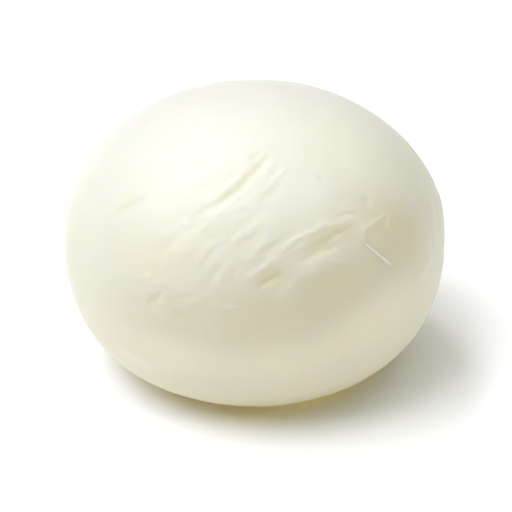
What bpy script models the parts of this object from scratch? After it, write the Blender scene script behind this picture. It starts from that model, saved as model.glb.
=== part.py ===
"""A fresh mozzarella ball: one solid lump of pulled curd, resting on a flat underside.

The ball is a squat, slightly sagging super-ellipsoid. Its skin carries the creases, lips,
pockets and soft swells left by pulling and pinching the curd. A fold has a rise and two
widths along a path over the skin. At the front, a path sets out from a longitude and
latitude at a heading, runs for a length and turns by a bend; further round it passes a few
chosen places.
Longitude 0 is the front (-Y) and 90 the right (+X); latitude 90 is the top.

Units are metres, but a fold runs for a length in millimetres. +Z is up, and the origin is
the middle of the underside.
"""

import math
from typing import NamedTuple

import bmesh
import bpy
import numpy as np

MM = 0.001

# Driving dimensions
WIDTH = 66.6 * MM            # side to side, along X
DEPTH = 64.6 * MM            # front to back, along Y
HEIGHT = 48.9 * MM           # resting height, along Z
SETTLED = 2.45 * MM          # how far the soft underside has pressed flat
FOOT_ROUNDING = 1.55 * MM    # rounding where the flat underside turns into the side
FOOT_RADIUS = 15.0 * MM      # middle of the flat foot to each of its corners
FOOT_CORNERS = (-90, 30, 150)   # their longitudes, in degrees
FOOT_OPENING = -60           # latitude below which the foot takes the round skin's place
FOOT_START = -70             # latitude of the foot's corners before they go to their places
LEAN = math.radians(-0.6)    # the lump leans a little, about Y

# Character of the cross-section: 2 is an ellipse, more is squarer
CROWN_SQUARENESS = 2.09
BELLY_SQUARENESS = 2.47
WAIST_BLEND = 0.35           # how softly crown and belly meet
SAG = 0.028                  # share of the half height by which the waist sinks

# Mesh
SPHERE_LEVEL = 5             # icosphere subdivisions before refining along the folds
REFINING = ((1.5, 0.0), (0.8, 0.17 * MM))   # passes: reach in fold widths, least rise
PATH_SAMPLES = 36            # points taken along each fold's smooth path
FADE = 0.6                   # how folds fade towards their ends: less is more sudden
SWEEP_STEPS = 8              # straight steps in a line over the skin
SKIN_RADIUS = 31 * MM        # mean radius, which turns lengths over the skin into angles


class Fold(NamedTuple):
    """A crease (negative rise) or a ridge (positive rise) along a smooth path on the skin."""

    name: str
    path: tuple              # places, each (longitude, latitude) in degrees
    rise: float              # at the middle of the path
    left: float              # width to the left of the path, seen from outside
    right: float             # width to its right


class Swell(NamedTuple):
    """A broad, round rise (or hollow, if negative) of the skin."""

    name: str
    place: tuple             # (longitude, latitude) in degrees
    rise: float
    radius: float


def sweep(start, heading, length, bend=0.0, curl=1.0):
    """Places along a line that sets out over the skin from start and turns on the way.

    The length is in millimetres. Heading and bend are in degrees, anticlockwise from level,
    seen from outside. A curl above 1 keeps the turning for the end, below 1 for the start.
    """
    longitude, latitude = start
    step = math.degrees(length * MM / SWEEP_STEPS / SKIN_RADIUS)
    places = [start]
    for count in range(SWEEP_STEPS):
        turn = math.radians(heading + bend * ((count + 0.5) / SWEEP_STEPS) ** curl)
        longitude += step * math.cos(turn) / math.cos(math.radians(latitude))
        latitude += step * math.sin(turn)
        places.append((longitude, latitude))
    return tuple(places)


FOLDS = (
    # The long diagonal crease over the upper front, with its lips and the nicks around it
    Fold("upper_crease", sweep((-24, 40), 42, 18, 14), -0.30 * MM, 0.65 * MM, 0.90 * MM),
    Fold("upper_lip", sweep((-19, 41), 34, 7.5, -34), 0.12 * MM, 1.20 * MM, 0.60 * MM),
    Fold("upper_fork", sweep((-2, 61), 65, 3.2), -0.14 * MM, 0.65 * MM, 0.65 * MM),
    Fold("second_lip", sweep((5, 52), 45, 6.5, 8), 0.10 * MM, 0.50 * MM, 0.50 * MM),
    Fold("second_crease", sweep((2, 46), 50, 5), -0.14 * MM, 0.60 * MM, 0.70 * MM),
    Fold("left_crease", sweep((-56, 29), 66, 9, -24), -0.19 * MM, 0.70 * MM, 0.90 * MM),
    Fold("upper_dint", sweep((-35, 54), 60, 4, -20), -0.12 * MM, 0.90 * MM, 0.90 * MM),
    # The pocket at the right of the front: a brow above, a hollow, a lip below
    Fold("pocket_brow", sweep((7, 31), 26, 15.5, -90, 3), 0.15 * MM, 0.60 * MM, 0.60 * MM),
    Fold("over_brow", sweep((30, 39), 8, 4.4, -65), -0.10 * MM, 0.50 * MM, 0.60 * MM),
    Fold("pocket_hollow", sweep((16, 28), 42, 8.2, -38), -0.20 * MM, 0.70 * MM, 0.90 * MM),
    Fold("pocket_lip", sweep((15, 24), 40, 10.2, -56), 0.15 * MM, 0.60 * MM, 1.30 * MM),
    # The torn notch left of the pocket and the lip over it
    Fold("notch_lip", sweep((-3, 21), 50, 7.6, -30), 0.15 * MM, 0.60 * MM, 0.55 * MM),
    Fold("notch", sweep((1, 20), 42, 4.6, -24), -0.30 * MM, 0.55 * MM, 0.70 * MM),
    # The fold that hangs under the pocket
    Fold("lower_fold", sweep((7, 14), 58, 5.2, -15), 0.15 * MM, 0.70 * MM, 0.90 * MM),
    Fold("hanging_edge", sweep((13, 22), 26, 9.4, -40), 0.13 * MM, 1.20 * MM, 0.50 * MM),
    Fold("below_fold", sweep((15, 18), 56, 8, -72, 0.5), -0.12 * MM, 0.60 * MM, 1.40 * MM),
    # Pulled bands across the middle of the front
    Fold("upper_band", sweep((-19, 18), 60, 17, -15), 0.11 * MM, 0.65 * MM, 0.60 * MM),
    Fold("middle_valley", sweep((-9, 27), 50, 9), -0.11 * MM, 0.70 * MM, 1.10 * MM),
    Fold("lower_band", sweep((-16, 14), 48, 8.6, 18), 0.11 * MM, 0.65 * MM, 0.65 * MM),
    Fold("lower_valley", sweep((-8, 19), 62, 4.6, 18), -0.11 * MM, 0.65 * MM, 0.70 * MM),
    Fold("cheek", sweep((-8, 13), 12, 2.2, 14), 0.10 * MM, 0.70 * MM, 0.70 * MM),
    Fold("cheek_shadow", sweep((-8, 9), 20, 2.8, 32), -0.10 * MM, 0.70 * MM, 0.90 * MM),
    Fold("lower_left_crease", sweep((-24, 8), 0, 4.6, 40), -0.16 * MM, 0.50 * MM, 0.65 * MM),
    # The small pit at the left of the front and its rims
    Fold("pit", sweep((-32, 9), 30, 3.8, 50), -0.26 * MM, 0.65 * MM, 0.75 * MM),
    Fold("pit_rim_below", sweep((-32, 8), -32, 4, 20), 0.10 * MM, 0.65 * MM, 0.75 * MM),
    Fold("pit_brow", sweep((-35, 17), 30, 2, -15), 0.12 * MM, 0.60 * MM, 0.65 * MM),
    # Film edges at the right
    Fold("film_edge", sweep((38, 30), 36, 6.2, -36), 0.10 * MM, 0.55 * MM, 0.60 * MM),
    Fold("film_step", sweep((41, 33), -135, 3, 30), 0.13 * MM, 0.50 * MM, 1.20 * MM),
    Fold("rim_band", sweep((66, 10), -165, 6.2, 38), 0.12 * MM, 0.65 * MM, 0.65 * MM),
    # Low down
    Fold("foot_ridge", sweep((-47, -15), -36, 12.5, 56), 0.22 * MM, 1.40 * MM, 1.40 * MM),
    Fold("low_nick", sweep((-2, -6), 60, 3), -0.14 * MM, 0.65 * MM, 0.65 * MM),
    # The back: the pinched seam where the ball was nipped off, and soft pulls around it
    Fold("seam", ((152, 6), (163, 11), (174, 9), (186, 15), (198, 14)),
         -0.50 * MM, 0.95 * MM, 0.95 * MM),
    Fold("seam_lip_above", ((150, 11), (163, 16), (175, 14), (187, 20), (199, 19)),
         0.30 * MM, 1.60 * MM, 0.90 * MM),
    Fold("seam_lip_below", ((160, 5), (173, 3), (186, 9), (196, 9)),
         0.27 * MM, 0.90 * MM, 1.50 * MM),
    Fold("seam_pull_left", ((200, 17), (209, 25), (214, 35)), -0.22 * MM, 0.80 * MM, 0.90 * MM),
    Fold("seam_pull_right", ((151, 6), (143, -1), (138, -9)), -0.20 * MM, 0.80 * MM, 0.80 * MM),
    Fold("back_crease", ((165, 38), (175, 44), (190, 46), (202, 51)),
         -0.22 * MM, 0.75 * MM, 0.70 * MM),
    Fold("back_band", ((160, 33), (174, 38), (192, 40)), 0.20 * MM, 1.20 * MM, 1.20 * MM),
    Fold("right_crease", ((92, 22), (99, 30), (104, 39)), -0.20 * MM, 0.70 * MM, 0.70 * MM),
    Fold("right_band", ((84, 8), (93, 13), (104, 14)), 0.18 * MM, 1.10 * MM, 1.10 * MM),
    Fold("left_side_crease", ((-118, 30), (-108, 26), (-97, 29)), -0.20 * MM, 0.70 * MM, 0.75 * MM),
    Fold("left_side_band", ((-112, 5), (-100, 10), (-90, 9)), 0.18 * MM, 1.20 * MM, 1.20 * MM),
)

SWELLS = (
    Swell("brow", (24, 44), 0.25 * MM, 8 * MM),
    Swell("left_cheek", (-34, 32), 0.20 * MM, 8 * MM),
    Swell("below_pocket", (27, 4), -0.60 * MM, 8.5 * MM),
    Swell("front_hollow", (-2, 6), -0.40 * MM, 7.5 * MM),
    Swell("left_shoulder", (-62, 10), 0.20 * MM, 9 * MM),
    Swell("back_bulge", (172, 27), 0.30 * MM, 9 * MM),
    Swell("back_hollow", (196, 0), -0.25 * MM, 8 * MM),
    Swell("right_bulge", (112, -4), 0.20 * MM, 10 * MM),
    Swell("left_hollow", (-120, 14), -0.20 * MM, 9 * MM),
)


def direction(place):
    """The unit vector that points to a (longitude, latitude) in degrees."""
    longitude, latitude = (math.radians(angle) for angle in place)
    level = math.cos(latitude)
    return np.array((math.sin(longitude) * level, -math.cos(longitude) * level, math.sin(latitude)))


def free_form(directions):
    """The points of the smooth ball, before it settles, for unit vectors (n x 3)."""
    half_height = (HEIGHT + SETTLED) / 2
    x, y, z = directions.T
    level = np.hypot(x, y)
    crown = 0.5 * (1 + np.tanh(z / WAIST_BLEND))
    power = BELLY_SQUARENESS + (CROWN_SQUARENESS - BELLY_SQUARENESS) * crown
    reach = (level ** power + np.abs(z) ** power) ** (-1 / power)
    across = WIDTH / 2 * x * reach
    along = DEPTH / 2 * y * reach
    share = z * reach
    up = half_height * (share + SAG * (share * share - 1))
    leaning_x = math.cos(LEAN) * across + math.sin(LEAN) * up
    leaning_z = math.cos(LEAN) * up - math.sin(LEAN) * across
    return np.column_stack((leaning_x, along, leaning_z + half_height))


def settle(points):
    """Press the underside flat at z = 0, with a rounded edge."""
    depth = points[:, 2] - SETTLED
    edge = np.maximum(FOOT_ROUNDING - np.abs(depth), 0) / FOOT_ROUNDING
    settled = points.copy()
    settled[:, 2] = np.maximum(depth, 0) + edge * edge * FOOT_ROUNDING / 4
    return settled


def smooth_path(places):
    """Unit vectors along a Catmull-Rom curve through the places."""
    knots = np.array([direction(place) for place in places])
    knots = np.vstack((2 * knots[0] - knots[1], knots, 2 * knots[-1] - knots[-2]))
    spans = len(knots) - 3
    points = []
    for step in np.linspace(0, spans, PATH_SAMPLES):
        span = min(int(step), spans - 1)
        t = step - span
        before, start, end, after = knots[span:span + 4]
        points.append(0.5 * (2 * start + (end - before) * t
                             + (2 * before - 5 * start + 4 * end - after) * t ** 2
                             + (3 * start - before - 3 * end + after) * t ** 3))
    points = np.array(points)
    return points / np.linalg.norm(points, axis=1)[:, None]


def nearest_on_path(points, path):
    """Distance to the path, and the index of its nearest sample, for each point."""
    gaps = np.linalg.norm(points[:, None, :] - path[None, :, :], axis=2)
    nearest = gaps.argmin(axis=1)
    return gaps[np.arange(len(points)), nearest], nearest


def fold_relief(points, normals, fold):
    """How far a fold lifts each point of the skin."""
    path = free_form(smooth_path(fold.path))
    gap, nearest = nearest_on_path(points, path)
    tangent = np.gradient(path, axis=0)[nearest]
    to_the_right = np.einsum("ij,ij->i", points - path[nearest], np.cross(tangent, normals))
    width = np.where(to_the_right > 0, fold.right, fold.left)
    fade = np.sin(math.pi * nearest / (PATH_SAMPLES - 1)) ** FADE
    return fold.rise * fade * np.exp(-(gap / width) ** 2)


def relief(points, normals):
    """How far all folds and swells together lift each point of the skin."""
    total = np.zeros(len(points))
    for fold in FOLDS:
        total += fold_relief(points, normals, fold)
    for swell in SWELLS:
        centre = free_form(direction(swell.place)[None, :])[0]
        gap = np.linalg.norm(points - centre, axis=1)
        total += swell.rise * np.exp(-(gap / swell.radius) ** 2)
    return total


def unit_vectors(vertices):
    """The vertices' directions from the middle of the sphere, as an n x 3 array."""
    places = np.array([vertex.co[:] for vertex in vertices])
    return places / np.linalg.norm(places, axis=1)[:, None]


def refine_along_folds(sphere, reach, least_rise):
    """Halve the faces of the unit sphere within reach fold widths of the stronger folds."""
    middles = np.array([face.calc_center_median()[:] for face in sphere.faces])
    middles = free_form(middles / np.linalg.norm(middles, axis=1)[:, None])
    near = np.zeros(len(middles), dtype=bool)
    for fold in FOLDS:
        if abs(fold.rise) >= least_rise:
            gap, _ = nearest_on_path(middles, free_form(smooth_path(fold.path)))
            near |= gap < reach * (fold.left + fold.right) / 2
    faces = [face for face, chosen in zip(sphere.faces, near) if chosen]
    edges = list({edge for face in faces for edge in face.edges})
    bmesh.ops.subdivide_edges(sphere, edges=edges, cuts=1, use_grid_fill=True)
    bmesh.ops.triangulate(sphere, faces=sphere.faces[:])


def fit_foot(sphere):
    """Give the unit sphere a three-cornered foot in place of its lowest faces.

    Returns the foot's corners.
    """
    level = math.sin(math.radians(FOOT_OPENING))
    low = [face for face in sphere.faces if all(vertex.co.z < level for vertex in face.verts)]
    bmesh.ops.delete(sphere, geom=low, context="FACES")
    rim = [edge for edge in sphere.edges if edge.is_boundary]
    corners = [sphere.verts.new(direction((longitude, FOOT_START))) for longitude in FOOT_CORNERS]
    foot = sphere.faces.new(corners)
    bmesh.ops.triangle_fill(sphere, edges=rim + list(foot.edges), use_beauty=True)
    return corners


def shape_ball(sphere):
    """Turn the unit sphere into the ball with its relief, resting on z = 0."""
    free = free_form(unit_vectors(sphere.verts))
    for vertex, place in zip(sphere.verts, free):
        vertex.co = place
    sphere.normal_update()
    normals = np.array([vertex.normal[:] for vertex in sphere.verts])
    shaped = settle(free + normals * relief(free, normals)[:, None])
    for vertex, place in zip(sphere.verts, shaped):
        vertex.co = place


def curd_material():
    """Moist white curd."""
    material = bpy.data.materials.new("curd")
    material.use_nodes = True
    shader = material.node_tree.nodes["Principled BSDF"]
    shader.inputs["Base Color"].default_value = (0.93, 0.91, 0.81, 1.0)
    shader.inputs["Roughness"].default_value = 0.42
    shader.inputs["Metallic"].default_value = 0.0
    return material


def make_ball():
    """The mozzarella ball, as one object."""
    sphere = bmesh.new()
    bmesh.ops.create_icosphere(sphere, subdivisions=SPHERE_LEVEL, radius=1.0)
    for reach, least_rise in REFINING:
        refine_along_folds(sphere, reach, least_rise)
    corners = fit_foot(sphere)
    shape_ball(sphere)
    for corner, longitude in zip(corners, FOOT_CORNERS):
        corner.co = direction((longitude, 0)) * FOOT_RADIUS
    bmesh.ops.recalc_face_normals(sphere, faces=sphere.faces[:])
    mesh = bpy.data.meshes.new("mozzarella_ball")
    sphere.to_mesh(mesh)
    sphere.free()
    mesh.shade_smooth()
    mesh.materials.append(curd_material())
    ball = bpy.data.objects.new("mozzarella_ball", mesh)
    bpy.context.collection.objects.link(ball)
    return ball


def clear_scene():
    """Remove every object of the start-up scene."""
    for leftover in list(bpy.data.objects):
        bpy.data.objects.remove(leftover, do_unlink=True)


clear_scene()
make_ball()
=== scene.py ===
"""Looks of a fresh mozzarella ball: its creased, moist skin, a torn strand of curd, and a pale studio."""

import logging
import math
from dataclasses import dataclass, field
from enum import Enum
from typing import Any, Sequence

import bmesh
import bpy
import numpy as np
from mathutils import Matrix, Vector


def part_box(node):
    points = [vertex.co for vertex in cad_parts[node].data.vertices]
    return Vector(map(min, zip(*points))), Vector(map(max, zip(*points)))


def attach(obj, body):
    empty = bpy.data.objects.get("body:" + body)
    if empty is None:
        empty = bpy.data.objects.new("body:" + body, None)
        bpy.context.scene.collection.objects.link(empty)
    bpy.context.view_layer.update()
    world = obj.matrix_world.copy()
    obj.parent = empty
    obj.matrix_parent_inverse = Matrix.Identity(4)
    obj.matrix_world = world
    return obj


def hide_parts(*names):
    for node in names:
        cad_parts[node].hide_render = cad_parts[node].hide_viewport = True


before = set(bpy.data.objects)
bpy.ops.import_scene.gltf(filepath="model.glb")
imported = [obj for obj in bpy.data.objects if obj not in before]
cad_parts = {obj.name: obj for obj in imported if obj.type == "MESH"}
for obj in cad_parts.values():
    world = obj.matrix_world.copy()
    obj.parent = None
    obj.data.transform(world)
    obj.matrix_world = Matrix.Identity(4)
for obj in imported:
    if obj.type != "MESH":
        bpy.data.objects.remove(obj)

LOG = logging.getLogger("mozzarella")
BODY = "root"
NODE = "mozzarella_ball"
MM = 0.001
SKIN_RADIUS = 31 * MM    # mean radius, which turns lengths over the skin into angles
SWEEP_STEPS = 8          # straight steps in a line over the skin

Colour = tuple[float, float, float]
Place = tuple[float, float]


# ---------------------------------------------------------------------------------------
# Shader maths and nodes
# ---------------------------------------------------------------------------------------


class Shade:
    """A value socket that takes part in Python expressions, each adding a Math node."""

    def __init__(self, bench: "Bench", socket: bpy.types.NodeSocket) -> None:
        """Wrap a socket.

        Args:
            bench: the node table that the expression's nodes go to.
            socket: an output socket that carries one number.
        """
        self.bench = bench
        self.socket = socket

    def _math(self, operation: str, *operands: Any) -> "Shade":
        """Add a Math node.

        Args:
            operation: the Math node's operation.
            operands: sockets, Shades or numbers, in order.

        Returns:
            The node's value.
        """
        return self.bench.node("ShaderNodeMath", {"operation": operation}, dict(enumerate(operands))).value()

    def __add__(self, other: Any) -> "Shade":
        """Sum."""
        return self._math("ADD", self, other)

    def __radd__(self, other: Any) -> "Shade":
        """Sum, with the number first."""
        return self._math("ADD", other, self)

    def __sub__(self, other: Any) -> "Shade":
        """Difference."""
        return self._math("SUBTRACT", self, other)

    def __rsub__(self, other: Any) -> "Shade":
        """Difference, with the number first."""
        return self._math("SUBTRACT", other, self)

    def __mul__(self, other: Any) -> "Shade":
        """Product."""
        return self._math("MULTIPLY", self, other)

    def __rmul__(self, other: Any) -> "Shade":
        """Product, with the number first."""
        return self._math("MULTIPLY", other, self)

    def clamped(self) -> "Shade":
        """The value kept between 0 and 1."""
        return self._math("MAXIMUM", self._math("MINIMUM", self, 1.0), 0.0)


class Added:
    """A node that the bench has added, with short ways to reach its outputs."""

    def __init__(self, bench: "Bench", node: bpy.types.Node) -> None:
        """Wrap a node.

        Args:
            bench: the node table that holds it.
            node: the node.
        """
        self.bench = bench
        self.raw = node

    def out(self, name: Any = 0) -> bpy.types.NodeSocket:
        """The output socket of that name or number."""
        return self.raw.outputs[name]

    def value(self, name: Any = 0) -> Shade:
        """The output of that name or number, as a value for expressions."""
        return Shade(self.bench, self.raw.outputs[name])


class Bench:
    """The node table of one material, emptied and ready for new nodes."""

    def __init__(self, name: str) -> None:
        """Make a material with an empty node tree.

        Args:
            name: the material's name.
        """
        self.material = bpy.data.materials.new(name)
        self.material.use_nodes = True
        self.tree = self.material.node_tree
        self.tree.nodes.clear()

    def node(self, kind: str, settings: dict[str, Any] | None = None,
             inputs: dict[Any, Any] | None = None) -> Added:
        """Add one node.

        Args:
            kind: the node's type.
            settings: properties that are set first; "stops" sets a ramp's positions and colours.
            inputs: socket name or number to a number, colour, socket or Shade.

        Returns:
            The node, wrapped.
        """
        made = self.tree.nodes.new(kind)
        for name, value in (settings or {}).items():
            if name == "stops":
                self._set_stops(made.color_ramp, value)
            else:
                setattr(made, name, value)
        for name, value in (inputs or {}).items():
            if isinstance(value, Shade):
                value = value.socket
            if isinstance(value, bpy.types.NodeSocket):
                self.tree.links.new(value, made.inputs[name])
            else:
                made.inputs[name].default_value = value
        return Added(self, made)

    @staticmethod
    def _set_stops(ramp: bpy.types.ColorRamp, stops: Sequence[tuple[float, Colour]]) -> None:
        """Give a ramp its stops.

        Args:
            ramp: the ramp of a Color Ramp node.
            stops: position and colour of each stop, in rising order.
        """
        while len(ramp.elements) < len(stops):
            ramp.elements.new(1.0)
        for element, (position, colour) in zip(ramp.elements, stops):
            element.position = position
            element.color = (*colour, 1.0)

    def mix_colours(self, factor: Any, first: Any, second: Any) -> bpy.types.NodeSocket:
        """Blend two colours.

        Args:
            factor: 0 for the first colour, 1 for the second.
            first: a colour with alpha, or a colour socket.
            second: a colour with alpha, or a colour socket.

        Returns:
            The blended colour's socket.
        """
        mixed = self.node("ShaderNodeMix", {"data_type": "RGBA"}, {0: factor, 6: first, 7: second})
        return mixed.out(2)

    def finish(self, surface: bpy.types.NodeSocket) -> bpy.types.Material:
        """Connect the surface to the output and return the material."""
        self.node("ShaderNodeOutputMaterial", None, {"Surface": surface})
        return self.material


# ---------------------------------------------------------------------------------------
# Finishes
# ---------------------------------------------------------------------------------------


class Note(Enum):
    """What the skin notes at each vertex for the finish to read."""

    RELIEF = "relief"
    PULLED = "pulled"
    # Shares of painted shade and of painted light, from the tints.
    CREAM = "cream"
    MILK = "milk"


@dataclass(frozen=True)
class CurdFinish:
    """Moist, pale curd: light sinks in and comes back yellowish, over a soft wet sheen. Its base colour also
    carries painted light and shade.
    """

    name: str = "curd"
    # Paler towards the top, creamier lower down: a painted light-and-shade gradient, with a random cloudy
    # tone mixed in.
    pale_lit_skin: Colour = (0.710, 0.710, 0.655)
    creamy_shaded_skin: Colour = (0.68, 0.65, 0.49)
    # Painted shade and painted light for the shaded and lit zones.
    painted_shade_cream: Colour = (0.645, 0.60, 0.42)
    milk: Colour = (0.79, 0.76, 0.58)
    # Painted shade in the creases and painted light on the ridges.
    hollow: Colour = (0.68, 0.64, 0.44)
    film: Colour = (0.74, 0.73, 0.65)
    roughness: float = 0.58
    scatter_depth: float = 1.6 * MM
    scatter_colour: Colour = (1.0, 0.85, 0.55)
    sheen_of_wet: float = 0.5
    film_weight: float = 0.6
    film_roughness: float = 0.55
    grain: float = 0.9 * MM
    streak: float = 0.6 * MM
    streak_stretch: float = 8.0
    streak_share: float = 1.5
    pull: tuple[float, float, float] = (0.74, 0.34, 0.58)
    # The painted shade of the height gradient: the height where it has faded, and its share at the foot.
    lit_height: float = 46 * MM
    foot_shade: float = 1.25
    cloud: float = 1 / 90
    cloud_share: float = 0.5
    # How strongly the creases take painted shade and the ridges painted light.
    crease_shade_share: float = 2.4
    ridge_light_share: float = 1.8
    roughness_range: float = 0.16
    grain_strength: float = 0.12
    grain_height: float = 0.1 * MM

    def material(self) -> bpy.types.Material:
        """Build the material.

        Returns:
            A translucent Principled material that reads the skin's relief.
        """
        bench = Bench(self.name)
        relief, pulled, painted_shade_share, painted_light_share = (
            bench.node("ShaderNodeAttribute", {"attribute_name": note.value}).value("Fac")
            for note in Note)
        # Painted shade in the creases and painted light on the ridges, read from the relief.
        low = (relief * -self.crease_shade_share).clamped()
        high = (relief * self.ridge_light_share).clamped()
        place = bench.node("ShaderNodeTexCoord").out("Object")
        clouds = bench.node("ShaderNodeTexNoise", None, {
            "Vector": place, "Scale": 1 / self.cloud, "Detail": 3.0, "Roughness": 0.55})
        cloud = clouds.value("Fac")
        height = bench.node("ShaderNodeSeparateXYZ", None, {"Vector": place}).value("Z")
        # Painted light and shade: paler at the top, creamier lower down, with a random cloudy tone.
        painted_low_shade = self.foot_shade - height * (self.foot_shade / self.lit_height)
        cream = (painted_low_shade + (cloud - 0.5) * self.cloud_share).clamped()
        base = bench.mix_colours(cream, (*self.pale_lit_skin, 1.0), (*self.creamy_shaded_skin, 1.0))
        # Painted shade, then painted light, over the tints' zones.
        base = bench.mix_colours((painted_shade_share * (cloud + 0.5)).clamped(), base, (*self.painted_shade_cream, 1.0))
        base = bench.mix_colours((painted_light_share * (cloud + 0.5)).clamped(), base, (*self.milk, 1.0))
        # Painted shade in the creases, then painted light on the ridges.
        base = bench.mix_colours(low, base, (*self.hollow, 1.0))
        base = bench.mix_colours(high, base, (*self.film, 1.0))
        pores = bench.node("ShaderNodeTexNoise", None,
                           {"Vector": place, "Scale": 1 / self.grain, "Detail": 4.0, "Roughness": 0.6})
        turned = bench.node("ShaderNodeMapping", {"vector_type": "TEXTURE"}, {
            "Vector": place,
            "Rotation": Vector(self.pull).to_track_quat("X", "Z").to_euler(),
            "Scale": (self.streak_stretch, 1.0, 1.0)})
        streaks = bench.node("ShaderNodeTexNoise", None, {
            "Vector": turned.out(), "Scale": 1 / self.streak, "Detail": 2.0, "Roughness": 0.5})
        height_of_grain = pores.value("Fac") + streaks.value("Fac") * pulled.clamped() * self.streak_share
        bump = bench.node("ShaderNodeBump", None,
                          {"Strength": self.grain_strength, "Distance": self.grain_height,
                           "Height": height_of_grain})
        surface = bench.node("ShaderNodeBsdfPrincipled", None, {
            "Base Color": base,
            "Roughness": (cloud - 0.5) * self.roughness_range + self.roughness,
            "Subsurface Weight": 1.0,
            "Subsurface Radius": self.scatter_colour,
            "Subsurface Scale": self.scatter_depth,
            "Specular IOR Level": self.sheen_of_wet,
            "Coat Weight": self.film_weight,
            "Coat Roughness": self.film_roughness,
            "Normal": bump.out("Normal"),
        })
        return bench.finish(surface.out("BSDF"))


@dataclass(frozen=True)
class FloorFinish:
    """Smooth white board, with a ring of painted warm shade and painted warm light, an emission that stands
    in for light that came through the curd.
    """

    name: str = "white_board"
    colour: Colour = (0.955, 0.965, 1.0)
    # Painted warm shade near the ball's foot, and painted light that the board emits there.
    painted_contact_shade: Colour = (0.95, 0.90, 0.74)
    painted_glow: Colour = (1.0, 0.76, 0.34)
    painted_glow_strength: float = 0.19
    ring_start: float = 19 * MM
    ring_reach: float = 7.5 * MM

    def material(self) -> bpy.types.Material:
        """Build the material.

        Returns:
            A matt white material, with painted warm shade and painted emitted light a little around the
            board's middle.
        """
        bench = Bench(self.name)
        place = bench.node("ShaderNodeTexCoord").out("Object")
        away = bench.node("ShaderNodeVectorMath", {"operation": "LENGTH"}, {0: place}).value("Value")
        # The ring near the ball where shade and light are painted on the board.
        ring = (1 - (away - self.ring_start) * (1 / self.ring_reach)).clamped()
        emission = bench.mix_colours(ring * ring, (0.0, 0.0, 0.0, 1.0), (*self.painted_glow, 1.0))
        surface = bench.node("ShaderNodeBsdfPrincipled", None, {
            "Base Color": bench.mix_colours(ring, (*self.colour, 1.0), (*self.painted_contact_shade, 1.0)),
            "Roughness": 1.0,
            "Specular IOR Level": 0.0,
            "Emission Color": emission,
            "Emission Strength": self.painted_glow_strength,
        })
        return bench.finish(surface.out("BSDF"))


# ---------------------------------------------------------------------------------------
# The form of the ball and its relief
# ---------------------------------------------------------------------------------------


def direction(place: Place) -> np.ndarray:
    """Turn a place on the skin into a direction.

    Args:
        place: longitude and latitude in degrees, 0 at the front and 90 at the top.

    Returns:
        The unit vector.
    """
    longitude, latitude = (math.radians(angle) for angle in place)
    level = math.cos(latitude)
    return np.array((math.sin(longitude) * level, -math.cos(longitude) * level, math.sin(latitude)))


def sweep(start: Place, heading: float, length: float, bend: float = 0.0,
          curl: float = 1.0) -> tuple[Place, ...]:
    """Places along a line that sets out over the skin and turns on the way.

    Args:
        start: where it sets out, longitude and latitude in degrees.
        heading: its first heading in degrees, anticlockwise from level, seen from outside.
        length: how far it runs, in millimetres.
        bend: degrees by which it has turned at its end, anticlockwise.
        curl: above 1 it turns mostly near its end, below 1 mostly near its start.

    Returns:
        The places, from start to end.
    """
    longitude, latitude = start
    step = math.degrees(length * MM / SWEEP_STEPS / SKIN_RADIUS)
    places = [start]
    for count in range(SWEEP_STEPS):
        turn = math.radians(heading + bend * ((count + 0.5) / SWEEP_STEPS) ** curl)
        longitude += step * math.cos(turn) / math.cos(math.radians(latitude))
        latitude += step * math.sin(turn)
        places.append((longitude, latitude))
    return tuple(places)


def unit(vectors: np.ndarray) -> np.ndarray:
    """The vectors at length 1."""
    return vectors / np.linalg.norm(vectors, axis=1)[:, None]


def smooth_path(path: Sequence[Place], samples: int) -> np.ndarray:
    """Directions along a Catmull-Rom curve through places on the skin.

    Args:
        path: the places.
        samples: how many directions to give.

    Returns:
        Unit vectors, samples x 3.
    """
    knots = np.array([direction(place) for place in path])
    knots = np.vstack((2 * knots[0] - knots[1], knots, 2 * knots[-1] - knots[-2]))
    spans = len(knots) - 3
    points = []
    for step in np.linspace(0, spans, samples):
        span = min(int(step), spans - 1)
        t = step - span
        before, start, end, after = knots[span:span + 4]
        points.append(0.5 * (2 * start + (end - before) * t
                             + (2 * before - 5 * start + 4 * end - after) * t ** 2
                             + (3 * start - before - 3 * end + after) * t ** 3))
    return unit(np.array(points))


@dataclass(frozen=True)
class Ripple:
    """Smooth, irregular waves through space, the same on each run."""

    pitch: float
    seed: int
    waves: int = 14
    variety: float = 1.6

    def at(self, points: np.ndarray) -> np.ndarray:
        """The waves' heights, about 1 on average.

        Args:
            points: where to read them, n x 3.

        Returns:
            The heights, n.
        """
        random = np.random.default_rng(self.seed)
        ways = unit(random.normal(size=(self.waves, 3)))
        pitches = self.pitch * random.uniform(1 / self.variety, self.variety, self.waves)
        starts = random.uniform(0, 2 * math.pi, self.waves)
        phases = 2 * math.pi * points @ (ways / pitches[:, None]).T + starts
        return np.sin(phases).sum(axis=1) * math.sqrt(2 / self.waves)


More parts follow.
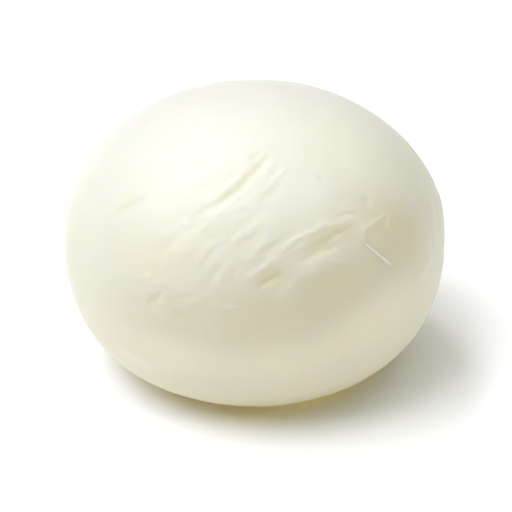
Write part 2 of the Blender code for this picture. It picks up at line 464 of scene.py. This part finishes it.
@dataclass
class BallForm:
    """The smooth ball: a squat super-ellipsoid that sags a little and rests on a flat foot."""

    width: float
    depth: float
    height: float
    settled: float = 2.45 * MM
    foot_rounding: float = 1.55 * MM
    lean: float = math.radians(-0.6)
    crown_squareness: float = 2.09
    belly_squareness: float = 2.47
    waist_blend: float = 0.35
    sag: float = 0.028

    @classmethod
    def from_frame(cls, ease: tuple[float, float, float] = (0.10 * MM, 0.0, 0.02 * MM)) -> "BallForm":
        """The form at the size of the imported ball.

        Args:
            ease: how much smaller it is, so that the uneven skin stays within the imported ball's box.

        Returns:
            The form.
        """
        low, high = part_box(NODE)
        size = high - low - Vector(ease)
        return cls(width=size.x, depth=size.y, height=size.z)

    def free(self, directions: np.ndarray) -> np.ndarray:
        """Points of the ball before it settles.

        Args:
            directions: unit vectors, n x 3.

        Returns:
            The points, n x 3.
        """
        half_height = (self.height + self.settled) / 2
        x, y, z = directions.T
        level = np.hypot(x, y)
        crown = 0.5 * (1 + np.tanh(z / self.waist_blend))
        power = self.belly_squareness + (self.crown_squareness - self.belly_squareness) * crown
        reach = (level ** power + np.abs(z) ** power) ** (-1 / power)
        across = self.width / 2 * x * reach
        along = self.depth / 2 * y * reach
        share = z * reach
        up = half_height * (share + self.sag * (share * share - 1))
        leaning_x = math.cos(self.lean) * across + math.sin(self.lean) * up
        leaning_z = math.cos(self.lean) * up - math.sin(self.lean) * across
        return np.column_stack((leaning_x, along, leaning_z + half_height))

    def normals(self, directions: np.ndarray, step: float = 0.001) -> np.ndarray:
        """Outward normals of the ball before it settles.

        Args:
            directions: unit vectors, n x 3.
            step: how far apart the compared points are, in radians.

        Returns:
            Unit vectors, n x 3.
        """
        steep = np.abs(directions[:, 2:]) > 0.7
        first = unit(np.cross(directions, np.where(steep, (1.0, 0.0, 0.0), (0.0, 0.0, 1.0))))
        second = np.cross(directions, first)
        across = [self.free(unit(directions + step * way)) - self.free(unit(directions - step * way))
                  for way in (first, second)]
        return unit(np.cross(*across))

    def settle(self, points: np.ndarray) -> np.ndarray:
        """Press the underside flat at z = 0, with a rounded edge.

        Args:
            points: points of the free ball, n x 3.

        Returns:
            The settled points.
        """
        depth = points[:, 2] - self.settled
        edge = np.maximum(self.foot_rounding - np.abs(depth), 0) / self.foot_rounding
        settled = points.copy()
        settled[:, 2] = np.maximum(depth, 0) + edge * edge * self.foot_rounding / 4
        return settled


@dataclass(frozen=True)
class Fold:
    """A crease (negative rise) or ridge (positive rise) along a smooth path on the skin."""

    name: str
    path: tuple[Place, ...]
    rise: float
    left: float
    right: float
    samples: int = 60
    wavering: float = 0.22
    width_pace: float = 1.4
    fade_pace: float = 0.9
    fading: float = 0.6
    reach: float = 3.5

    def line(self, form: BallForm) -> np.ndarray:
        """Points of the smooth path, on the form."""
        return form.free(smooth_path(self.path, self.samples))

    def lift(self, form: BallForm, points: np.ndarray, normals: np.ndarray) -> np.ndarray:
        """How far the fold lifts each point of the skin.

        Args:
            form: the smooth ball.
            points: points on it, n x 3.
            normals: outward normals there, n x 3.

        Returns:
            The lifts, n.
        """
        line = self.line(form)
        widest = max(self.left, self.right) * self.reach
        middle = line.mean(axis=0)
        radius = np.linalg.norm(line - middle, axis=1).max() + widest
        near = np.flatnonzero(np.linalg.norm(points - middle, axis=1) < radius)
        lifts = np.zeros(len(points))
        if not len(near):
            return lifts
        gaps = np.linalg.norm(points[near, None, :] - line[None, :, :], axis=2)
        nearest = gaps.argmin(axis=1)
        gap = gaps[np.arange(len(near)), nearest]
        tangent = np.gradient(line, axis=0)[nearest]
        side = np.einsum("ij,ij->i", points[near] - line[nearest], np.cross(tangent, normals[near]))
        along = np.concatenate(([0.0], np.cumsum(np.linalg.norm(np.diff(line, axis=0), axis=1))))[nearest]
        width = np.where(side > 0, self.right, self.left)
        width = width * (1 + self.wavering * self._waver(along, self.width_pace))
        fade = np.sin(math.pi * nearest / (self.samples - 1)) ** self.fading
        fade *= 1 + self.wavering * self._waver(along, self.fade_pace)
        lifts[near] = self.rise * fade * np.exp(-(gap / width) ** 2)
        return lifts

    def _waver(self, along: np.ndarray, pace: float) -> np.ndarray:
        """Uneven waves from -1 to 1 along the path, so that no two stretches are alike.

        Args:
            along: distances along the path.
            pace: how far the waves turn, in radians, over a stretch as long as the fold is wide.

        Returns:
            The waves' heights.
        """
        start = sum(self.path[0])
        turn = along / (self.left + self.right) * pace + start
        return 0.6 * np.sin(turn) + 0.4 * np.sin(2.7 * turn + start)


@dataclass(frozen=True)
class Swell:
    """A broad, round rise (or hollow, if negative) of the skin."""

    name: str
    place: Place
    rise: float
    radius: float

    def lift(self, form: BallForm, points: np.ndarray) -> np.ndarray:
        """How far the swell lifts each point of the skin.

        Args:
            form: the smooth ball.
            points: points on it, n x 3.

        Returns:
            The lifts, n.
        """
        centre = form.free(direction(self.place)[None, :])[0]
        gap = np.linalg.norm(points - centre, axis=1)
        return self.rise * np.exp(-(gap / self.radius) ** 2)


@dataclass(frozen=True)
class Zone:
    """A long, soft-edged stretch of the skin."""

    name: str
    start: Place
    end: Place
    across: float

    def way(self, form: BallForm) -> np.ndarray:
        """The direction from start to end, as a unit vector."""
        first, last = form.free(np.array([direction(self.start), direction(self.end)]))
        return (last - first) / np.linalg.norm(last - first)

    def share(self, form: BallForm, points: np.ndarray) -> np.ndarray:
        """How much each point of the skin belongs to the zone.

        Args:
            form: the smooth ball.
            points: points on it, n x 3.

        Returns:
            1 in the middle, falling to 0 outside, n.
        """
        first, last = form.free(np.array([direction(self.start), direction(self.end)]))
        offset = points - (first + last) / 2
        along = offset @ self.way(form)
        aside = np.sqrt(np.maximum((offset ** 2).sum(axis=1) - along ** 2, 0))
        reach = np.linalg.norm(last - first) / 2
        return np.exp(-((along / reach) ** 2 + (aside / self.across) ** 2) ** 1.5)


@dataclass(frozen=True)
class Tint(Zone):
    """A zone painted darker and creamier (painted shade) or paler and milkier (painted light) than around
    it.
    """

    # Share of painted shade (darker, creamier) and of painted light (paler).
    cream: float = 0.0
    milk: float = 0.0


@dataclass(frozen=True)
class PulledPatch(Zone):
    """A zone that was pulled one way and kept long, faint wrinkles from it."""

    rise: float = 0.035 * MM
    pitch: float = 1.7 * MM
    stretch: float = 6.0
    crease_share: float = 0.8
    crease_width: float = 0.3

    def lift(self, form: BallForm, points: np.ndarray) -> np.ndarray:
        """How far the wrinkles lift each point of the skin.

        Args:
            form: the smooth ball.
            points: points on it, n x 3.

        Returns:
            The lifts, n.
        """
        way = self.way(form)
        squeezed = points - np.outer(points @ way * (1 - 1 / self.stretch), way)
        seed = sum(ord(letter) for letter in self.name)
        waves = Ripple(self.pitch, seed).at(squeezed)
        creases = np.exp(-(Ripple(1.8 * self.pitch, seed + 1).at(squeezed) / self.crease_width) ** 2)
        return self.rise * self.share(form, points) * (waves - self.crease_share * creases)


def fold_mm(name: str, path: Sequence[Place], rise: float, left: float, right: float) -> Fold:
    """A fold with its rise and widths in millimetres.

    Args:
        name: what the fold is.
        path: its places, longitude and latitude in degrees.
        rise: lift at the middle of the path.
        left: width to the left of the path, seen from outside.
        right: width to its right.

    Returns:
        The fold.
    """
    return Fold(name, tuple(path), rise * MM, left * MM, right * MM)


FRONT_FOLDS = (
    # The long diagonal crease over the upper front, with its lips and the nicks around it
    fold_mm("upper_crease", sweep((-24, 40), 42, 18, 14), -0.23, 0.65, 0.90),
    fold_mm("upper_lip", sweep((-19, 41), 34, 7.5, -34), 0.09, 1.20, 0.50),
    fold_mm("under_lip", sweep((-11, 44), 12, 5, -12), -0.05, 0.30, 0.60),
    fold_mm("blade", sweep((7, 57), 58, 3.2), 0.08, 0.40, 0.40),
    fold_mm("blade_shadow", sweep((6, 55), 45, 4, 20), -0.06, 0.40, 0.40),
    fold_mm("second_lip", sweep((5, 52), 45, 6.5, 8), 0.09, 0.40, 0.45),
    fold_mm("second_crease", sweep((2, 46), 50, 5, 0), -0.07, 0.50, 0.70),
    fold_mm("upper_fork", sweep((-2, 61), 65, 3.2), -0.13, 0.60, 0.60),
    fold_mm("left_crease", sweep((-56, 29), 66, 9, -24), -0.17, 0.70, 0.90),
    fold_mm("upper_dint", sweep((-35, 54), 60, 4, -20), -0.08, 0.90, 0.90),
    fold_mm("small_nick", sweep((-24, 49), 60, 2), -0.08, 0.60, 0.60),
    fold_mm("fleck", sweep((-26, 37), 45, 1.8, -20), 0.12, 0.40, 0.50),
    # Bands and valleys that one pull left side by side across the middle
    fold_mm("left_valley", sweep((-31, 26), 58, 5.2), -0.08, 1.00, 1.00),
    fold_mm("left_band", sweep((-23, 32), 63, 3), 0.07, 0.70, 0.70),
    fold_mm("mid_hollow", sweep((-16, 33), 55, 4.2, -20), -0.08, 0.90, 0.90),
    fold_mm("upper_band", sweep((-19, 18), 60, 17, -15), 0.08, 0.60, 0.55),
    fold_mm("middle_valley", sweep((-9, 27), 50, 9), -0.03, 0.70, 1.10),
    fold_mm("inner_band", sweep((-3, 27), 54, 5.4), 0.05, 0.60, 0.50),
    fold_mm("inner_valley", sweep((3, 30), 46, 4), -0.04, 0.60, 0.60),
    fold_mm("lower_band", sweep((-16, 14), 48, 8.6, 18), 0.10, 0.60, 0.60),
    fold_mm("band_valley", sweep((-16, 17), 60, 6.4), -0.08, 0.60, 0.60),
    fold_mm("lower_valley", sweep((-8, 19), 62, 4.6, 18), -0.09, 0.60, 0.70),
    fold_mm("left_block", sweep((-16, 12), 50, 2.8, -20), -0.09, 0.60, 0.80),
    # The pocket at the right of the front: a brow above, a hollow, a lip below
    fold_mm("pocket_brow", sweep((7, 31), 26, 15.5, -90, 3), 0.13, 0.45, 0.50),
    fold_mm("over_brow", sweep((30, 39), 8, 4.4, -65), -0.09, 0.40, 0.50),
    fold_mm("pocket_hollow", sweep((16, 28), 42, 8.2, -38), -0.14, 0.80, 1.00),
    fold_mm("pocket_lip", sweep((15, 24), 40, 10.2, -56), 0.16, 0.60, 1.30),
    fold_mm("pocket_end", sweep((26, 34), 0, 3), -0.13, 0.45, 0.60),
    # The torn notch left of the pocket, under its lip
    fold_mm("notch_lip", sweep((-3, 21), 50, 7.6, -30), 0.14, 0.50, 0.45),
    fold_mm("over_notch", sweep((0, 26), 36, 2.6, -20), -0.08, 0.35, 0.40),
    fold_mm("notch", sweep((1, 20), 42, 4.6, -24), -0.36, 0.50, 0.70),
    # The fold that hangs under the pocket
    fold_mm("lower_fold", sweep((7, 14), 58, 5.2, -15), 0.14, 0.70, 0.90),
    fold_mm("hanging_edge", sweep((13, 22), 26, 9.4, -40), 0.15, 1.20, 0.40),
    fold_mm("below_fold", sweep((15, 18), 56, 8, -72, 0.5), -0.15, 0.50, 1.40),
    # Edges of the loose film at the right
    fold_mm("film_edge", sweep((38, 30), 36, 6.2, -36), 0.14, 0.45, 0.50),
    fold_mm("film_flap", sweep((48, 29), 45, 2.8, 15), 0.12, 0.40, 0.40),
    fold_mm("film_step", sweep((41, 33), -135, 3, 30), 0.17, 0.35, 1.20),
    fold_mm("side_nick", sweep((52, 31), -117, 1.5), -0.09, 0.40, 0.40),
    fold_mm("rim_streak", sweep((70, 15), -135, 2.7), -0.15, 0.40, 0.40),
    fold_mm("rim_band", sweep((66, 10), -165, 6.2, 38), 0.16, 0.60, 0.60),
    # The small pit at the left, its rims and the crease beside it
    fold_mm("pit", sweep((-32, 9), 30, 3.8, 50), -0.31, 0.65, 0.75),
    fold_mm("pit_rim_right", sweep((-28, 10), 60, 3.8, -45), 0.08, 0.50, 0.50),
    fold_mm("pit_rim_below", sweep((-32, 8), -32, 4, 20), 0.11, 0.60, 0.70),
    fold_mm("pit_brow", sweep((-35, 17), 30, 2, -15), 0.12, 0.50, 0.60),
    fold_mm("lower_left_crease", sweep((-24, 8), 0, 4.6, 40), -0.20, 0.40, 0.60),
    fold_mm("cheek", sweep((-8, 13), 12, 2.2, 14), 0.14, 0.60, 0.60),
    fold_mm("cheek_shadow", sweep((-8, 9), 20, 2.8, 32), -0.14, 0.60, 0.90),
    # Low down
    fold_mm("foot_ridge", sweep((-47, -15), -36, 12.5, 56), 0.22, 1.40, 1.40),
    fold_mm("low_nick", sweep((-2, -6), 60, 3), -0.14, 0.60, 0.60),
)

FAR_FOLDS = (
    # The pinched seam where the ball was nipped off, and soft pulls around it
    fold_mm("seam", ((152, 6), (163, 11), (174, 9), (186, 15), (198, 14)), -0.50, 0.95, 0.95),
    fold_mm("seam_lip_above", ((150, 11), (163, 16), (175, 14), (187, 20), (199, 19)), 0.30, 1.60, 0.90),
    fold_mm("seam_lip_below", ((160, 5), (173, 3), (186, 9), (196, 9)), 0.27, 0.90, 1.50),
    fold_mm("seam_pull_left", ((200, 17), (209, 25), (214, 35)), -0.22, 0.80, 0.90),
    fold_mm("seam_pull_right", ((151, 6), (143, -1), (138, -9)), -0.20, 0.80, 0.80),
    fold_mm("back_crease", ((165, 38), (175, 44), (190, 46), (202, 51)), -0.22, 0.75, 0.70),
    fold_mm("back_band", ((160, 33), (174, 38), (192, 40)), 0.20, 1.20, 1.20),
    fold_mm("right_crease", ((92, 22), (99, 30), (104, 39)), -0.20, 0.70, 0.70),
    fold_mm("right_band", ((84, 8), (93, 13), (104, 14)), 0.18, 1.10, 1.10),
    fold_mm("left_side_crease", ((-118, 30), (-108, 26), (-97, 29)), -0.20, 0.70, 0.75),
    fold_mm("left_side_band", ((-112, 5), (-100, 10), (-90, 9)), 0.18, 1.20, 1.20),
)

SWELLS = (
    Swell("round_dint", (46, 40), -0.16 * MM, 1 * MM),
    Swell("dimple", (32, 52), -0.14 * MM, 0.6 * MM),
    Swell("dark_dab", (33, 26), -0.07 * MM, 0.8 * MM),
    Swell("brow", (24, 44), 0.25 * MM, 8 * MM),
    Swell("left_cheek", (-34, 32), 0.20 * MM, 8 * MM),
    Swell("below_pocket", (27, 4), -0.60 * MM, 8.5 * MM),
    Swell("front_hollow", (-2, 6), -0.40 * MM, 7.5 * MM),
    Swell("left_shoulder", (-62, 10), 0.20 * MM, 9 * MM),
    Swell("back_bulge", (172, 27), 0.30 * MM, 9 * MM),
    Swell("back_hollow", (196, 0), -0.25 * MM, 8 * MM),
    Swell("right_bulge", (112, -4), 0.20 * MM, 10 * MM),
    Swell("left_hollow", (-120, 14), -0.20 * MM, 9 * MM),
)

PULLED_PATCHES = (
    PulledPatch("middle_pull", (-22, 14), (10, 47), 7.5 * MM, 0.030 * MM),
    PulledPatch("pocket_pull", (0, 22), (38, 36), 4.5 * MM, 0.030 * MM),
    PulledPatch("upper_pull", (-28, 37), (16, 66), 4.0 * MM, 0.025 * MM),
    PulledPatch("low_left_pull", (-36, 9), (-6, 13), 3.5 * MM, 0.035 * MM),
    PulledPatch("seam_pull", (146, 5), (204, 18), 7.0 * MM, 0.045 * MM),
    PulledPatch("back_pull", (160, 32), (204, 50), 5.0 * MM, 0.035 * MM),
    PulledPatch("right_pull", (82, 5), (106, 36), 6.0 * MM, 0.035 * MM),
    PulledPatch("left_pull", (-120, 6), (-92, 28), 6.0 * MM, 0.035 * MM),
)

# Painted shade and painted light where light falls on the ball: darker, creamier bands and foot, paler lit
# hems, sides and rim.
TINTS = (
    Tint("creamy_left_belly", (-46, 0), (-16, 7), 4.5 * MM, cream=0.5),
    Tint("creamy_belly", (-16, 8), (10, 8), 5 * MM, cream=0.65),
    Tint("creamy_right_belly", (8, 8), (42, 15), 5.5 * MM, cream=0.7),
    Tint("milky_left_hem", (-36, -10), (-4, -13), 4 * MM, milk=0.5),
    Tint("milky_hem", (-6, -13), (24, -10), 4 * MM, milk=0.55),
    Tint("milky_right_hem", (22, -10), (52, 2), 5 * MM, milk=0.75),
    Tint("milky_left", (-46, 18), (-8, 28), 4 * MM, milk=0.3),
    Tint("milky_shoulder", (76, 70), (52, 42), 6 * MM, milk=0.25),
    Tint("creamy_foot", (-32, -34), (32, -32), 5 * MM, cream=0.8),
    Tint("creamy_waist", (-30, -4), (16, -2), 3.5 * MM, cream=0.45),
    Tint("creamy_right_front", (42, 38), (58, 10), 6.5 * MM, cream=0.6),
    Tint("creamy_left_rim", (-72, 24), (-68, -6), 5 * MM, cream=0.35),
    Tint("creamy_pocket", (16, 30), (34, 35), 1.8 * MM, cream=0.7),
    Tint("creamy_notch", (0, 21), (10, 25), 1.5 * MM, cream=0.6),
    Tint("rim_film", (81, 25), (70, 11), 1.2 * MM, milk=0.5),
    Tint("outer_rim_film", (90, 23), (78, 3), 1.0 * MM, milk=0.5),
    Tint("milky_back_hem", (155, -14), (200, -10), 5 * MM, milk=0.5),
    Tint("creamy_back", (165, 28), (205, 24), 6 * MM, cream=0.5),
    Tint("creamy_right", (88, -4), (118, 8), 6 * MM, cream=0.5),
    Tint("milky_left_side", (-112, 34), (-88, 22), 6 * MM, milk=0.35),
)


# ---------------------------------------------------------------------------------------
# The ball's skin
# ---------------------------------------------------------------------------------------


@dataclass
class Skin:
    """The ball's whole outer skin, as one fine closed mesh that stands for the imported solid."""

    form: BallForm
    finish: CurdFinish = field(default_factory=CurdFinish)
    folds: tuple[Fold, ...] = FRONT_FOLDS + FAR_FOLDS
    swells: tuple[Swell, ...] = SWELLS
    patches: tuple[PulledPatch, ...] = PULLED_PATCHES
    tints: tuple[Tint, ...] = TINTS
    cuts: int = 126
    gather: float = 0.35
    gathered_at: Place = (2, 32)
    stray: tuple[tuple[float, float], ...] = ((4.0 * MM, 0.15 * MM), (1.6 * MM, 0.05 * MM))
    stray_seed: int = 40
    unevenness: tuple[tuple[float, float], ...] = (
        (15 * MM, 0.03 * MM), (6 * MM, 0.018 * MM), (3 * MM, 0.004 * MM))

    def straying(self, points: np.ndarray) -> np.ndarray:
        """Small sideways shifts that make the folds' edges wander.

        Args:
            points: points of the skin, n x 3.

        Returns:
            A shift for each point, n x 3.
        """
        shifts = np.zeros_like(points)
        for pitch, reach in self.stray:
            for axis in range(3):
                shifts[:, axis] += reach * Ripple(pitch, self.stray_seed + axis).at(points)
        return shifts

    def directions(self, sheet: bmesh.types.BMesh) -> np.ndarray:
        """Spread a gridded cube's vertices over the unit sphere, closer together at the front.

        Args:
            sheet: a cube from -1 to 1 with evenly cut faces.

        Returns:
            Unit vectors, n x 3.
        """
        cube = np.array([vertex.co[:] for vertex in sheet.verts])
        even = unit(np.tan(cube * math.pi / 4))
        return unit(even + self.gather * direction(self.gathered_at))

    def shaped(self, directions: np.ndarray) -> tuple[np.ndarray, np.ndarray, np.ndarray]:
        """Work out the settled skin with its relief.

        Args:
            directions: unit vectors, n x 3.

        Returns:
            The skin's points, the smooth ball's normals there, and the lift of the fine relief.
        """
        free = self.form.free(directions)
        normals = self.form.normals(directions)
        strayed = free + self.straying(free)
        fine = sum(fold.lift(self.form, strayed, normals) for fold in self.folds)
        fine += sum(patch.lift(self.form, strayed) for patch in self.patches)
        broad = sum(swell.lift(self.form, free) for swell in self.swells)
        for seed, (pitch, rise) in enumerate(self.unevenness):
            broad += rise * Ripple(pitch, seed).at(free)
        return self.form.settle(free + normals * (fine + broad)[:, None]), normals, fine

    def mesh(self) -> bpy.types.Mesh:
        """Build the skin's mesh, with notes for the finish at each vertex.

        Returns:
            The mesh.
        """
        sheet = bmesh.new()
        bmesh.ops.create_cube(sheet, size=2.0)
        bmesh.ops.subdivide_edges(sheet, edges=sheet.edges[:], cuts=self.cuts, use_grid_fill=True)
        directions = self.directions(sheet)
        points, _, fine = self.shaped(directions)
        for vertex, point in zip(sheet.verts, points):
            vertex.co = point
        bmesh.ops.recalc_face_normals(sheet, faces=sheet.faces[:])
        mesh = bpy.data.meshes.new("ball_skin")
        sheet.to_mesh(mesh)
        sheet.free()
        free = self.form.free(directions)
        self._note(mesh, Note.RELIEF, fine / MM)
        self._note(mesh, Note.PULLED, sum(patch.share(self.form, free) for patch in self.patches))
        # Painted shade and painted light, from the tints.
        self._note(mesh, Note.CREAM, sum(tint.cream * tint.share(self.form, free) for tint in self.tints))
        self._note(mesh, Note.MILK, sum(tint.milk * tint.share(self.form, free) for tint in self.tints))
        mesh.shade_smooth()
        return mesh

    @staticmethod
    def _note(mesh: bpy.types.Mesh, note: Note, values: np.ndarray) -> None:
        """Keep a number for each vertex, for the finish to read.

        Args:
            mesh: the skin's mesh.
            note: what the numbers say.
            values: the numbers, n.
        """
        kept = mesh.attributes.new(note.value, "FLOAT", "POINT")
        kept.data.foreach_set("value", values.astype(np.float32))

    def build(self) -> bpy.types.Object:
        """Make, dress and seat the skin.

        Returns:
            The piece.
        """
        mesh = self.mesh()
        mesh.materials.append(self.finish.material())
        piece = bpy.data.objects.new("ball_skin", mesh)
        bpy.context.scene.collection.objects.link(piece)
        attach(piece, BODY)
        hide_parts(NODE)
        return piece


@dataclass
class TornStrand:
    """A thin strand of curd that tore loose at the pocket's end and lies on the skin."""

    skin: Skin
    finish: CurdFinish = field(default_factory=lambda: CurdFinish(
        name="strand_curd", pale_lit_skin=(0.79, 0.775, 0.70), creamy_shaded_skin=(0.78, 0.755, 0.65),
        scatter_depth=0.1 * MM))
    path: tuple[Place, ...] = sweep((37, 28), -58, 7.5)
    half_widths: tuple[float, ...] = (0.05 * MM, 0.30 * MM, 0.24 * MM, 0.20 * MM, 0.23 * MM, 0.30 * MM,
                                      0.26 * MM, 0.05 * MM)
    flatness: float = 0.55
    rings: int = 60
    sides: int = 12

    def mesh(self) -> bpy.types.Mesh:
        """Build the strand as a closed, flattened tube along the skin.

        Returns:
            The mesh.
        """
        middles, normals, _ = self.skin.shaped(smooth_path(self.path, self.rings))
        aside = unit(np.cross(np.gradient(middles, axis=0), normals))
        along = np.linspace(0, 1, self.rings)
        half = np.interp(along, np.linspace(0, 1, len(self.half_widths)), self.half_widths)[:, None]
        sheet = bmesh.new()
        turns = np.linspace(0, 2 * math.pi, self.sides, endpoint=False)
        spokes = [aside * half * math.cos(turn) + normals * half * self.flatness * math.sin(turn)
                  for turn in turns]
        rows = [[sheet.verts.new(middle + spoke[row]) for spoke in spokes]
                for row, middle in enumerate(middles)]
        for row, following in zip(rows, rows[1:]):
            for side in range(self.sides):
                after = (side + 1) % self.sides
                sheet.faces.new((row[side], row[after], following[after], following[side]))
        sheet.faces.new(rows[0])
        sheet.faces.new(rows[-1])
        bmesh.ops.recalc_face_normals(sheet, faces=sheet.faces[:])
        mesh = bpy.data.meshes.new("torn_strand")
        sheet.to_mesh(mesh)
        sheet.free()
        mesh.shade_smooth()
        return mesh

    def build(self) -> bpy.types.Object:
        """Make, dress and seat the strand.

        Returns:
            The piece.
        """
        mesh = self.mesh()
        mesh.materials.append(self.finish.material())
        piece = bpy.data.objects.new("torn_strand", mesh)
        bpy.context.scene.collection.objects.link(piece)
        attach(piece, BODY)
        return piece


# ---------------------------------------------------------------------------------------
# Floor, light and camera
# ---------------------------------------------------------------------------------------


@dataclass(frozen=True)
class SoftLight:
    """A wide, even light that shines on the whole set from one side."""

    name: str
    azimuth: float
    elevation: float
    spread: float
    strength: float
    colour: Colour = (1.0, 1.0, 1.0)

    def build(self) -> bpy.types.Object:
        """Hang the light.

        Returns:
            The light's object.
        """
        lamp = bpy.data.lights.new(self.name, "SUN")
        lamp.angle = math.radians(self.spread)
        lamp.energy = self.strength
        lamp.color = self.colour
        light = bpy.data.objects.new(self.name, lamp)
        bpy.context.scene.collection.objects.link(light)
        turn = math.radians(self.azimuth)
        rise = math.radians(self.elevation)
        away = Vector((math.sin(turn) * math.cos(rise), -math.cos(turn) * math.cos(rise), math.sin(rise)))
        light.rotation_euler = away.to_track_quat("Z", "Y").to_euler()
        return light


@dataclass
class Studio:
    """A white board, soft lights and the camera, for a ball of a given height."""

    height: float
    floor_finish: FloorFinish = field(default_factory=FloorFinish)
    floor_half: float = 1.5
    camera_distance: float = 350 * MM
    camera_elevation: float = math.radians(30.0)
    camera_aim: float = 0.4988
    camera_near: float = 10 * MM
    lens: float = 140.3
    sensor: float = 36.0
    shift_x: float = 0.003
    shift_y: float = -0.0535
    lights: tuple[SoftLight, ...] = (
        SoftLight("key", -75, 55, 50, 2.3),
        SoftLight("left_back", -150, 60, 15, 0.65),
        SoftLight("top", 0, 90, 90, 1.65),
        SoftLight("warm_fill", 65, 30, 15, 0.5, (1.0, 0.92, 0.48)),
    )

    def floor(self) -> bpy.types.Object:
        """Lay the board at the ball's foot."""
        half = self.floor_half
        mesh = bpy.data.meshes.new("floor")
        mesh.from_pydata([(-half, -half, 0), (half, -half, 0), (half, half, 0), (-half, half, 0)], [],
                         [(0, 1, 2, 3)])
        mesh.materials.append(self.floor_finish.material())
        board = bpy.data.objects.new("floor", mesh)
        bpy.context.scene.collection.objects.link(board)
        return board

    def camera(self) -> bpy.types.Object:
        """Set the camera at the front, looking down at the ball."""
        lens = bpy.data.cameras.new("camera")
        lens.lens = self.lens
        lens.sensor_width = self.sensor
        lens.clip_start = self.camera_near
        lens.shift_x = self.shift_x
        lens.shift_y = self.shift_y
        camera = bpy.data.objects.new("camera", lens)
        bpy.context.scene.collection.objects.link(camera)
        rise = self.camera_elevation
        target = Vector((0, 0, self.camera_aim * self.height))
        camera.location = target + Vector((0, -math.cos(rise), math.sin(rise))) * self.camera_distance
        camera.rotation_euler = (math.pi / 2 - rise, 0, 0)
        bpy.context.scene.camera = camera
        return camera

    def world(self) -> None:
        """Leave the room itself dark, so that only the lights shine."""
        world = bpy.data.worlds.new("room")
        world.use_nodes = True
        room = world.node_tree.nodes["Background"]
        room.inputs["Strength"].default_value = 0.0
        bpy.context.scene.world = world
        bpy.context.scene.view_settings.view_transform = "Standard"

    def build(self) -> None:
        """Set up floor, lights, room and camera."""
        self.floor()
        for light in self.lights:
            light.build()
        self.world()
        self.camera()


def main() -> None:
    """Build the ball and its studio."""
    logging.basicConfig(level=logging.INFO, format="%(name)s: %(message)s")
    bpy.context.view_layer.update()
    form = BallForm.from_frame()
    skin = Skin(form)
    LOG.info("skin: %d faces", len(skin.build().data.polygons))
    LOG.info("torn strand: %d faces", len(TornStrand(skin).build().data.polygons))
    Studio(height=form.height).build()
    LOG.info("studio: camera and lights set")


if __name__ == "__main__":
    main()
